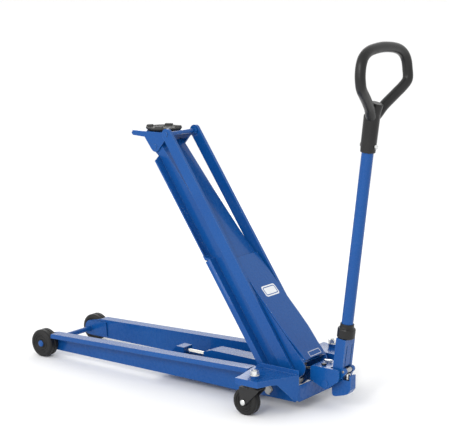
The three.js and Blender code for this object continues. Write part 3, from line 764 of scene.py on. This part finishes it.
def shafts():
    """The four cross shafts, the sleeve on the front axle, the shaft's snap rings and the rod studs."""
    cross_shaft("front_axle", "front_axle_bar")
    clip_at = abs(middle("shaft_clip_left").y)
    cross_shaft("arm_shaft", "arm_shaft_bar", [(y, 2.6 * MM, 0.9 * MM) for y in (-clip_at, clip_at)])
    shaft_end = span("saddle_shaft").y / 2 - 2.2 * MM
    grooves = [(y, 1.2 * MM, 0.8 * MM) for y in (-shaft_end, shaft_end)]
    cross_shaft("saddle_shaft", "saddle_shaft_bar", grooves)
    rod_end = span("rod_shaft").y / 2 - 2.0 * MM
    grooves = [(y, 1.2 * MM, 0.7 * MM) for y in (-rod_end, rod_end)]
    cross_shaft("rod_shaft", "rod_shaft_bar", grooves)
    sleeve = span("axle_sleeve")
    line = tube_line(span("front_axle").z / 2 + 0.3 * MM, sleeve.z / 2, sleeve.y / 2)
    place = along_y(middle("axle_sleeve"))
    stands_for(turned("axle_sleeve_tube", line, place, 72, 0.5 * MM), "axle_sleeve")
    for side, sign in SIDES.items():
        clip = f"shaft_clip_{side}"
        line = tube_line(span("arm_shaft").z / 2 - 0.6 * MM, span(clip).z / 2, span(clip).y / 2)
        opening = 0.80 * TURN
        ring = turned(f"arm_shaft_ring_{side}", line, along_y(middle(clip), sign), 80, 0.3 * MM, opening)
        stands_for(ring, clip)
        rod_stud(side, sign)


def rod_stud(side, sign):
    stud = f"rod_stud_{side}"
    place = along_y(middle(stud), sign)
    low, high = reach(stud, place)
    collar_from = high.z - 24.4 * MM
    line = [
        (0, low.z), (6 * MM, low.z), (7 * MM, low.z + 1 * MM), (7 * MM, collar_from),
        (11 * MM, collar_from), (11 * MM, high.z), (0, high.z),
    ]
    stands_for(turned(f"{stud}_turned", line, place, 72, 0.8 * MM), stud)


# ---- saddle head ----
def saddle_top():
    """The cast saddle with its four lugs, and the snap ring on its post."""
    low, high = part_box("saddle")
    centre = joint_place("saddle_turn")
    height = high.z - low.z
    place = along_z(Vector((centre.x, centre.y, low.z)))
    seat = height - 14 * MM
    outline = [
        (0, 0), (11 * MM, 0), (12 * MM, 1 * MM), (12 * MM, seat), (46 * MM, seat),
        (49 * MM, seat + 2 * MM), (52 * MM, seat + 6 * MM), (52 * MM, seat + 9 * MM),
        (48 * MM, seat + 10 * MM), (43 * MM, seat + 8 * MM), (14 * MM, seat + 8 * MM),
        (12.5 * MM, seat + 7 * MM), (0, seat + 7 * MM),
    ]
    parts = [turned("disc", outline, place, 160, 0.8 * MM)]
    parts += [lug(place, seat, quarter) for quarter in range(4)]
    stands_for(fused("saddle_casting", parts, 0.9 * MM, 3), "saddle")
    clip = span("saddle_clip")
    line = tube_line(12.2 * MM, clip.x / 2, clip.z / 2)
    ring = turned("saddle_snap_ring", line, along_z(middle("saddle_clip")), 80, 0.5 * MM, 0.86 * TURN)
    stands_for(ring, "saddle_clip")


def lug(place, seat, quarter):
    """One of the four raised pads on the saddle's rim."""
    turn = Matrix.Rotation(math.radians(20 + 90 * quarter), 4, "Z")
    foot = [(36, -11), (50, -11), (51.5, 0), (50, 11), (36, 11)]
    low, high = seat + 4 * MM, seat + 14 * MM
    bm = bmesh.new()
    lower = [bm.verts.new(place @ turn @ Vector((x * MM, y * MM, low))) for x, y in foot]
    upper = [bm.verts.new(place @ turn @ Vector((x * MM * 0.995, y * MM * 0.95, high))) for x, y in foot]
    for i in range(len(foot)):
        j = (i + 1) % len(foot)
        bm.faces.new((lower[i], lower[j], upper[j], upper[i]))
    bm.faces.new(lower)
    bm.faces.new(upper)
    return new_piece("lug", bm)


# ---- hydraulic ram ----
def ram():
    """The chromed rod with its piston and gland, which lie inside the barrel."""
    def on_axis(node_name):
        return along_x(middle(node_name))

    rod = span("ram_rod")
    line = bar_line(rod.z / 2, rod.x / 2, 1 * MM)
    stands_for(turned("ram_rod_chromed", line, on_axis("ram_rod"), 96, 0.4 * MM), "ram_rod")
    piston = span("ram_piston")
    r, half = piston.z / 2, piston.x / 2
    inner = rod.z / 2 + 0.3 * MM
    line = [(inner, -half), (r, -half)]
    half_groove, floor_of_groove = 1.6 * MM, r - 2.4 * MM
    for at in (-5 * MM, 5 * MM):
        line += [(r, at - half_groove), (floor_of_groove, at - half_groove)]
        line += [(floor_of_groove, at + half_groove), (r, at + half_groove)]
    line += [(r, half), (inner, half)]
    stands_for(turned("ram_piston_grooved", line, on_axis("ram_piston"), 96, 0.3 * MM), "ram_piston")
    gland = span("ram_gland")
    r, half = gland.z / 2, gland.x / 2
    line = [
        (inner, -half), (r, -half), (r, half), (inner + 3 * MM, half),
        (inner + 1.4 * MM, half - 1.6 * MM), (inner, half - 1.6 * MM),
    ]
    stands_for(turned("ram_gland_ring", line, on_axis("ram_gland"), 96, 0.5 * MM), "ram_gland")


# ---- pump end, in the handle's own frame where it tilts ----
HANDLE = frame_at(joint_place("handle_twist"), JOINT["handle_twist"]["axis"])


def handle_across(x, z):
    """The cross direction at a point given in the handle's frame."""
    return along_y(HANDLE @ Vector((x, 0, z)))


def pump_end():
    """The cam roller, the yoke's pin, the plunger and the filler plug."""
    low, high = reach("cam_roller", HANDLE)
    centre = (low + high) / 2
    roller, half = (high.x - low.x) / 2, (high.y - low.y) / 2
    pin, chamfer, half_roller = 4 * MM, 0.5 * MM, 13 * MM
    line = [
        (0, -half), (pin - chamfer, -half), (pin, -half + chamfer), (pin, -half_roller),
        (roller, -half_roller), (roller, half_roller), (pin, half_roller), (pin, half - chamfer),
        (pin - chamfer, half), (0, half),
    ]
    across = handle_across(centre.x, centre.z)
    stands_for(turned("cam_roller_turned", line, across, 72, 0.5 * MM), "cam_roller")
    place = along_y(joint_place("handle_pump"), -1)
    low, high = reach("yoke_pin", place)
    head, shank, under_head = high.x, 7 * MM, high.z - 3.7 * MM
    line = [
        (0, low.z), (shank - 1 * MM, low.z), (shank, low.z + 1 * MM), (shank, under_head),
        (head, under_head), (head, high.z - 1.4 * MM), (head - 2 * MM, high.z), (0, high.z),
    ]
    stands_for(turned("yoke_pin_turned", line, place, 80, 0.6 * MM), "yoke_pin")
    plunger()
    plug = hexagon("filler_plug_hex", 6.0 * MM, 0, span("filler_plug").z, on_foot("filler_plug"))
    stands_for(plug, "filler_plug")


def plunger():
    """The plunger with its collar, and the spring round it, built at one length; the real spring shortens
    by the stroke.
    """
    height, shank, collar = span("pump_plunger").z, 6 * MM, 7 * MM
    under_collar = height - 7 * MM
    line = [
        (0, 0), (shank - 0.8 * MM, 0), (shank, 0.8 * MM), (shank, under_collar), (collar, under_collar),
        (collar, height - 1.6 * MM), (5 * MM, height - 0.3 * MM), (0, height),
    ]
    piece = turned("pump_plunger_ground", line, on_foot("pump_plunger"), 72, 0.5 * MM)
    stands_for(piece, "pump_plunger")
    low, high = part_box("plunger_spring")
    wire, turns, steps = 0.8 * MM, 5, 260
    radius = (high.x - low.x) / 2 - wire
    foot = Vector((middle("pump_plunger").x, 0, low.z))
    rise = high.z - low.z - 2 * wire
    shares = [i / steps for i in range(steps + 1)]
    points = [foot + on_ring(radius, TURN * turns * share, wire + rise * share) for share in shares]
    spring = swept("plunger_spring_wire", points, wire, sides=12)
    stands_for(spring, "plunger_spring")
    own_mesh(spring)


# ---- handle ----
# The grip in the handle's frame, in millimetres: the left half of the loop, from the sleeve to the top
LOOP = [
    (-5, 14, 687), (-10, 36, 711), (-17, 70, 737), (-23, 104, 762), (-25, 117, 779), (-21, 117.5, 802),
    (-17, 111, 828), (-13, 94, 847), (-10.5, 60, 859),
]
LOOP_LOW, LOOP_HIGH = (-3, 0, 682), (-9.5, 0, 864)
GRIP = {"bar": 14.4, "crown": 17, "lean": 12, "bottom": 590, "top": 690, "bore": 16.3, "depth": 640.3}


def in_handle(point):
    """A point given in the handle's frame in millimetres, as a place in the row frame."""
    return HANDLE @ (Vector(point) * MM)


def handle_parts():
    """The tube with its spigot, the rubber collar, the grip and its bolt."""
    low, high = reach("handle_tube", HANDLE)
    outer, spigot = (high.x - low.x) / 2, 12 * MM
    line = [
        (spigot - 3 * MM, low.z), (spigot, low.z), (spigot, 86 * MM), (outer, 86 * MM), (outer, high.z),
        (outer - 2.5 * MM, high.z), (outer - 2.5 * MM, 96 * MM), (spigot - 3 * MM, 90 * MM),
    ]
    stands_for(turned("handle_tube_drawn", line, HANDLE, 96, 0.8 * MM), "handle_tube")
    low, high = reach("handle_collar", HANDLE)
    bore, wide = outer + 0.3 * MM, (high.x - low.x) / 2
    line = [
        (bore, low.z), (wide - 1.4 * MM, low.z), (wide, low.z + 2.4 * MM), (wide, high.z - 16 * MM),
        (wide - 1.2 * MM, high.z - 13.4 * MM), (wide - 4.4 * MM, high.z - 11.8 * MM),
        (wide - 5.4 * MM, high.z - 8 * MM), (wide - 5.6 * MM, high.z - 1.2 * MM), (wide - 6.6 * MM, high.z),
        (bore, high.z),
    ]
    stands_for(turned("handle_collar_moulded", line, HANDLE, 96, 1.0 * MM), "handle_collar")
    stands_for(grip_moulding(), "handle_grip")
    grip_bolt()


def grip_moulding():
    """The loop, its sleeve and the crown between them, moulded as one and left open for the tube."""
    other = [(x, -y, z) for x, y, z in reversed(LOOP)]
    guide = [in_handle(p) for p in (LOOP_LOW, *LOOP, LOOP_HIGH, *other)]
    bar = (GRIP["bar"] - 0.6) * MM   # a little thinner than the CAD bar, to stay inside it
    loop = swept("loop", curve_through(guide, 14), bar, sides=28, closed=True)
    bore, bottom, top, depth = (GRIP[key] for key in ("bore", "bottom", "top", "depth"))
    sleeve_line = [
        (bore, bottom), (20, bottom), (21, bottom + 30), (21.5, top - 3),
        (18, top + 1), (0, top + 1), (0, depth), (bore, depth),
    ]
    sleeve = turned_with_blind_bore("sleeve", [(r * MM, z * MM) for r, z in sleeve_line])
    lean = Matrix.Translation(in_handle((0, 0, top - 20))) @ HANDLE.to_3x3().to_4x4()
    lean = lean @ Matrix.Rotation(math.radians(-GRIP["lean"]), 4, "Y")
    wide, tall = GRIP["crown"] * MM, 52 * MM
    crown_line = [(0, 0), (wide, 0), (wide, tall), (0, tall)]
    crown = turned("crown", crown_line, lean, 64, 1.5 * MM)
    body = fused("grip_moulding", [loop, sleeve, crown], 1.3 * MM, 7)
    place = frame_at(in_handle((0, 0, bottom + 18)), HANDLE.to_3x3() @ Vector((1, 0, 0)))
    drill = turned("drill", bar_line(4.3 * MM, 40 * MM), place, 32, 0.1 * MM)
    return drilled(body, drill)


def turned_with_blind_bore(name, line):
    """A lathe piece whose outline touches the axis between two of its points."""
    first = next(i for i, (r, _) in enumerate(line) if r < NEARLY_ZERO)
    return turned(name, line[first + 1:] + line[:first + 1], HANDLE, 72, 0.8 * MM)


def grip_bolt():
    """Cross bolt with a low round head in front and a domed nut behind."""
    low, high = reach("grip_bolt", HANDLE)
    centre = HANDLE @ Vector((0, 0, (low.z + high.z) / 2))
    place = frame_at(centre, HANDLE.to_3x3() @ Vector((1, 0, 0)))
    seat = 21.3 * MM
    line = [
        (0, low.x), (2.4 * MM, low.x + 0.4 * MM), (4 * MM, low.x + 2.2 * MM), (4 * MM, seat),
        (7 * MM, seat), (6.6 * MM, high.x - 1.5 * MM), (4 * MM, high.x - 0.3 * MM), (0, high.x),
    ]
    stands_for(turned("grip_bolt_shank", line, place, 64, 0.5 * MM), "grip_bolt")
    flats, bore, outer_end = 5.7 * MM, 4.05 * MM, low.x + 1.6 * MM
    nut = hexagon("grip_bolt_nut", flats, outer_end, -seat, place, bore=bore, chamfer_low=True)
    goes_with(nut, "grip_bolt")


# ---- pressed and welded steel ----
ARM_ANGLE = math.radians(55.6)
ARM = frame_at(joint_place("arm_lift"), (-math.sin(ARM_ANGLE), 0, math.cos(ARM_ANGLE)))


def in_arm(point):
    return ARM.inverted() @ point


def arm_top_edge(a, b):
    """True on the two long outside edges where the arm's walls turn into its top."""
    a, b = in_arm(a), in_arm(b)
    at_the_wall = all(51 * MM < abs(p.y) < 57 * MM and p.z > 15 * MM for p in (a, b))
    return at_the_wall and abs(a.x - b.x) > 8 * MM


def flange_bend(a, b):
    """True on the long outside edges where the arm's flanges turn down."""
    a, b = in_arm(a), in_arm(b)
    at_the_lip = all(abs(abs(p.y) - 81 * MM) < 0.5 * MM and p.z > 9 * MM for p in (a, b))
    return at_the_lip and abs(a.x - b.x) > 100 * MM


def sheet_steel():
    """The parts that keep their CAD shape, with edges rounded as they are pressed, cut or cast."""
    refined("arm_channel", 0.7 * MM, 2, [(arm_top_edge, 5.0 * MM, 5), (flange_bend, 2.8 * MM, 4)])
    refined("arm_cover", 1.4 * MM, 3)
    for side in SIDES:
        refined(f"rail_{side}", 0.7 * MM)
        refined(f"nose_plate_{side}", 0.8 * MM)
        refined(f"wing_{side}", 0.9 * MM, 3)
        refined(f"parallel_rod_{side}", 1.2 * MM, 3, sharp=40)
        refined(f"caster_fork_{side}", 0.6 * MM)
    refined("rear_plate", 0.9 * MM)
    refined("floor_plate", 0.6 * MM)
    refined("saddle_holder", 0.8 * MM)
    refined("ram_anchor", 1.2 * MM, 3)
    refined("ram_barrel", 1.6 * MM, 3)
    refined("ram_pusher", 1.0 * MM)
    refined("lift_lever", 0.8 * MM)
    refined("pump_block", 1.6 * MM, 3)
    refined("handle_yoke", 1.1 * MM, 3)
    refined("release_valve", 0.6 * MM)
    refined("ram_pipe", 0.2 * MM, 1, sharp=60)
    lever_roller()


def lever_roller():
    """The lever's roller and its pin."""
    place = along_y(middle("lever_roller"))
    r, half = span("lever_roller").z / 2, span("lever_roller").y / 2
    pin, chamfer, half_roller = 6 * MM, 0.6 * MM, 13.5 * MM
    line = [
        (0, -half), (pin - chamfer, -half), (pin, -half + chamfer), (pin, -half_roller), (r, -half_roller),
        (r, half_roller), (pin, half_roller), (pin, half - chamfer), (pin - chamfer, half), (0, half),
    ]
    stands_for(turned("lever_roller_turned", line, place, 96, 0.8 * MM), "lever_roller")


# ---- welds ----
def welds():
    """The beads round the axle sleeve, along the wings, on the lever and at the ram's anchor."""
    sleeve_low, sleeve_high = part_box("axle_sleeve")
    for side, sign in SIDES.items():
        end = Vector((middle("axle_sleeve").x, sleeve_high.y * sign, middle("axle_sleeve").z))
        ring = ring_points(along_y(end, sign), span("axle_sleeve").z / 2)
        bead(f"sleeve_weld_{side}", ring, "axle_sleeve", 1.8 * MM, closed=True)
        wing_low, wing_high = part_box(f"wing_{side}")
        root = min(abs(wing_low.y), abs(wing_high.y)) * sign
        top = middle(f"caster_nut_{side}").z - span(f"caster_nut_{side}").z / 2 - 9.3 * MM
        seam = [(wing_low.x + 6 * MM, root, top), (wing_high.x - 30 * MM, root, top)]
        bead(f"wing_weld_{side}", seam, "rear_plate", 2.0 * MM)
        tube_end = joint_place("arm_lift") + Vector((0, 51.5 * MM * sign, 0))
        ring = ring_points(along_y(tube_end, sign), 17 * MM)
        bead(f"lever_tube_weld_{side}", ring, "arm_channel", 2.0 * MM, closed=True)
        plate = joint_place("arm_lift") + Vector((0, 20.5 * MM * sign, 0))
        ring = ring_points(along_y(plate, sign), 17 * MM)
        bead(f"lever_plate_weld_{side}", ring, "lift_lever", 1.8 * MM, closed=True)
    anchor_low, anchor_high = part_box("ram_anchor")
    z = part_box("floor_plate")[1].z
    half = anchor_high.y
    front = min(anchor_high.x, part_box("floor_plate")[1].x) - 1 * MM
    path = [(front, -half, z), (anchor_low.x, -half, z), (anchor_low.x, half, z), (front, half, z)]
    bead("anchor_weld", path, "ram_anchor", 2.2 * MM)


# ---- stickers ----
def rounded_plate(name, centre, across, up, outline_size, corner, thickness, hole=None):
    """A thin plate with round corners, lying on a surface spanned by across and up."""
    across, up = across.normalized(), up.normalized()
    normal = across.cross(up)

    def loop_of(width, height, radius):
        corners_of = [(-width, -height), (width, -height), (width, height), (-width, height)]
        return rounded([(x / 2, y / 2) for x, y in corners_of], radius, steps=6)

    bm = bmesh.new()

    def ring(points, height):
        return [bm.verts.new(centre + across * x + up * y + normal * height) for x, y in points]

    outer = loop_of(*outline_size, corner)
    rings = [ring(outer, 0), ring(outer, thickness)]
    if hole:
        inner = loop_of(*hole, corner * 0.7)
        rings += [ring(inner, thickness), ring(inner, 0)]
    closed = zip(rings, rings[1:] + rings[:1]) if hole else zip(rings, rings[1:])
    for a, b in closed:
        for i in range(len(a)):
            j = (i + 1) % len(a)
            bm.faces.new((a[i], a[j], b[j], b[i]))
    if not hole:
        bm.faces.new(rings[0])
        bm.faces.new(rings[1])
    return new_piece(name, bm, smooth=False)


# The cover plate's underside in the arm's frame, in millimetres: along the arm, and out from it
COVER_LINE = [(22.5, 113.5), (45, 111), (90, 105), (155, 95), (224, 83), (325, 68)]
COVER_THICKNESS, FILM_GAP = 5, 0.05


def on_cover(u, y):
    """A place on the cover plate's top, u millimetres along the arm, and the slope there."""
    for (u0, n0), (u1, n1) in zip(COVER_LINE, COVER_LINE[1:]):
        if u <= u1:
            break
    slope = (n1 - n0) / (u1 - u0)
    lift = n0 + slope * (u - u0) + COVER_THICKNESS + FILM_GAP
    direction = ARM.to_3x3() @ Vector((1, 0, slope))
    return ARM @ (Vector((u, y, lift)) * MM), direction.normalized()


def stickers():
    """Two plain ones on the arm's cover: a white badge with a blue band, and an outline."""
    across = Vector((0, -1, 0))
    place, up = on_cover(243, -2)
    badge = rounded_plate("badge_white", place, across, up, (62 * MM, 34 * MM), 8 * MM, 0.12 * MM)
    goes_with(badge, "arm_cover", STICKER)
    band = rounded_plate(
        "badge_band", place, across, up, (54 * MM, 26 * MM), 6 * MM, 0.2 * MM, (49 * MM, 21 * MM)
    )
    goes_with(band, "arm_cover")
    place, up = on_cover(34, -8)
    outline = rounded_plate(
        "label_outline", place, across, up, (54 * MM, 15 * MM), 3 * MM, 0.15 * MM, (51.4 * MM, 12.4 * MM)
    )
    goes_with(outline, "arm_cover", STICKER)


# ---- making it all ----
make_camera()
make_floor()
make_light()
sheet_steel()
wheels("front_wheel", 6.3 * MM)
wheels("caster_wheel", 5.3 * MM)
hub_caps()
caster_fittings()
shafts()
saddle_top()
ram()
pump_end()
handle_parts()
welds()
stickers()
